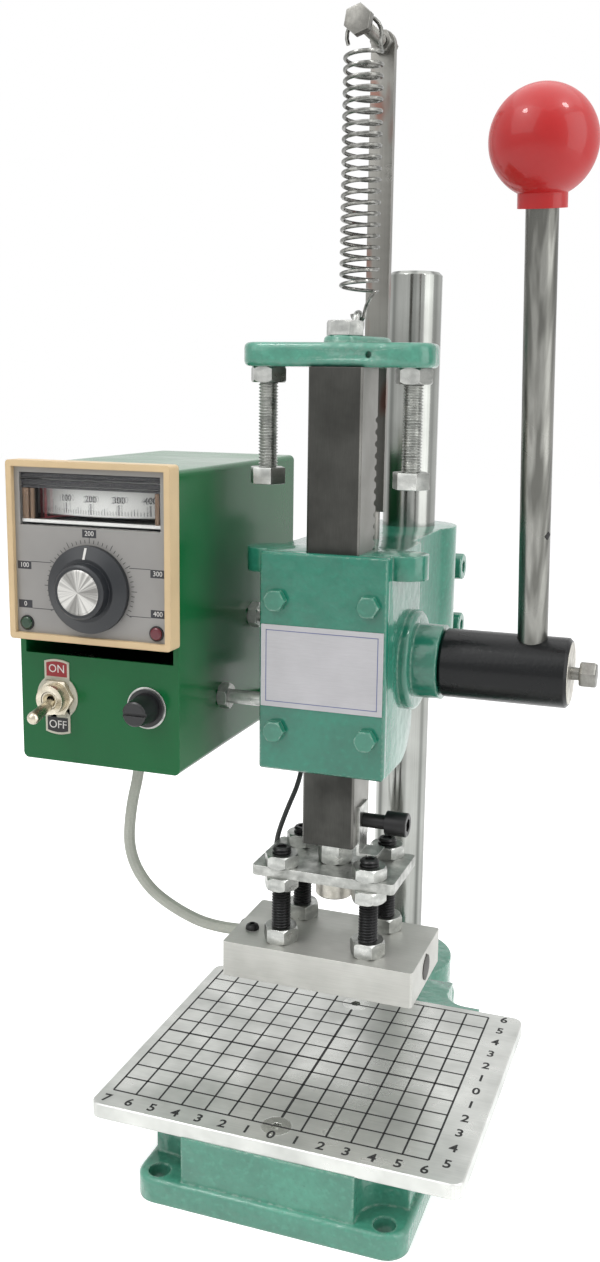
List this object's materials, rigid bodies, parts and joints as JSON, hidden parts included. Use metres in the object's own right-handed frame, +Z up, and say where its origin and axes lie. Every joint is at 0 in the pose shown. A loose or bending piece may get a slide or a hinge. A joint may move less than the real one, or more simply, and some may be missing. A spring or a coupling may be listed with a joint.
{
  "type": "hot foil stamping machine",
  "caption": "Bench hot foil stamping press: heated block on a rack-driven ram, pull lever, return spring, column and temperature control box.",
  "frame": {"origin": "centre line of the base's underside, below the engraved zero of the worktable", "axes": "+X to the right seen from the front, +Y to the back towards the column, +Z up"},
  "size_m": [0.2274, 0.222, 0.4572],
  "materials": {
    "green_paint": "gloss",
    "box_paint": "gloss",
    "ground_steel": "satin",
    "polished_steel": "polished",
    "zinc_steel": "satin",
    "black_steel": "satin",
    "spring_steel": "satin",
    "plate_metal": "satin",
    "cream_plastic": "satin",
    "grey_plastic": "matte",
    "black_plastic": "satin",
    "clear_plastic": "polished",
    "white_scale": "matte",
    "pointer_metal": "satin",
    "chrome_lever": "polished",
    "red_plastic": "gloss",
    "green_lens": "gloss",
    "red_lens": "gloss",
    "rubber_grommet": "matte",
    "glass_sleeve": "matte",
    "dark_wire": "matte"
  },
  "bodies": {
    "base": {"base_casting": "green_paint", "worktable_plate": "ground_steel", "table_screws": "zinc_steel", "column": "polished_steel", "column_set_screw": "zinc_steel"},
    "head": {"head_casting": "green_paint", "front_cover": "green_paint", "cover_bolts": "green_paint", "label_plate": "plate_metal", "clamp_bolts": "black_steel", "spring_post": "ground_steel", "post_screw": "zinc_steel", "post_nuts": "zinc_steel", "control_box_shell": "box_paint", "control_box_back": "box_paint", "back_cover_screws": "zinc_steel", "box_studs": "zinc_steel", "stud_nuts": "zinc_steel", "thermostat_body": "black_plastic", "thermostat_bezel": "cream_plastic", "thermostat_face": "grey_plastic", "meter_window": "clear_plastic", "meter_scale": "white_scale", "green_lamp": "green_lens", "red_lamp": "red_lens", "toggle_switch": "black_plastic", "toggle_nut": "zinc_steel", "fuse_holder": "black_plastic", "cable_gland": "black_plastic", "wire_grommet": "rubber_grommet", "mains_inlet": "black_plastic"},
    "ram_carriage": {"ram": "ground_steel", "top_bracket": "green_paint", "bracket_bolt": "zinc_steel", "stop_bolts": "zinc_steel", "stop_nuts": "zinc_steel", "spring_eye": "zinc_steel", "return_spring": "spring_steel", "mounting_plate": "ground_steel", "stem_screw": "black_steel", "plate_nuts": "zinc_steel", "standoff_screws": "black_steel", "heating_block": "ground_steel", "cartridge_heater": "zinc_steel", "sensor_probe": "zinc_steel", "side_screw": "black_steel", "side_clip": "zinc_steel", "heater_cable": "glass_sleeve", "sensor_wire": "dark_wire"},
    "press_lever": {"pinion_gear": "ground_steel", "pinion_shaft": "ground_steel", "lever_hub": "black_steel", "hub_end_screw": "zinc_steel", "lever_rod": "ground_steel", "lever_knob": "red_plastic"},
    "switch_bat": {"toggle_lever": "chrome_lever"},
    "temperature_dial": {"dial_knob": "black_plastic", "knob_cap": "plate_metal"},
    "meter_pointer": {"meter_needle": "pointer_metal"},
    "fuse_cover": {"fuse_cap": "black_plastic"}
  },
  "joints": [
    {"name": "head_height", "type": "slide", "parent": "base", "child": "head", "axis": [0, 0, 1], "range_m": [-0.009, 0.09]},
    {"name": "ram_slide", "type": "slide", "parent": "head", "child": "ram_carriage", "axis": [0, 0, -1], "range_m": [0, 0.0253], "stiffness_N_per_m": 1000, "springref_m": -0.045, "deforming": ["return_spring", "heater_cable", "sensor_wire"]},
    {"name": "lever_turn", "type": "hinge", "parent": "head", "child": "press_lever", "pos_m": [0, 0.0391, 0.202], "axis": [1, 0, 0], "range_deg": [0, 108]},
    {"name": "switch_flip", "type": "hinge", "parent": "head", "child": "switch_bat", "pos_m": [-0.1095, -0.021, 0.1865], "axis": [-1, 0, 0], "range_deg": [0, 28]},
    {"name": "dial_turn", "type": "hinge", "parent": "head", "child": "temperature_dial", "pos_m": [-0.09, -0.026, 0.2336], "axis": [0, -1, 0], "range_deg": [-120, 120]},
    {"name": "pointer_swing", "type": "hinge", "parent": "head", "child": "meter_pointer", "pos_m": [-0.09, 0.036, 0.26], "axis": [0, 0, 1], "range_deg": [0, 52], "stiffness_Nm_per_rad": 0.0004},
    {"name": "fuse_cap_turn", "type": "hinge", "parent": "head", "child": "fuse_cover", "pos_m": [-0.0687, -0.022, 0.186], "axis": [0, -1, 0], "range_deg": [0, 90]}
  ],
  "couplings": [
    {"joint": "lever_turn", "follows": "ram_slide", "rad_per_m": 74.074}
  ]
}
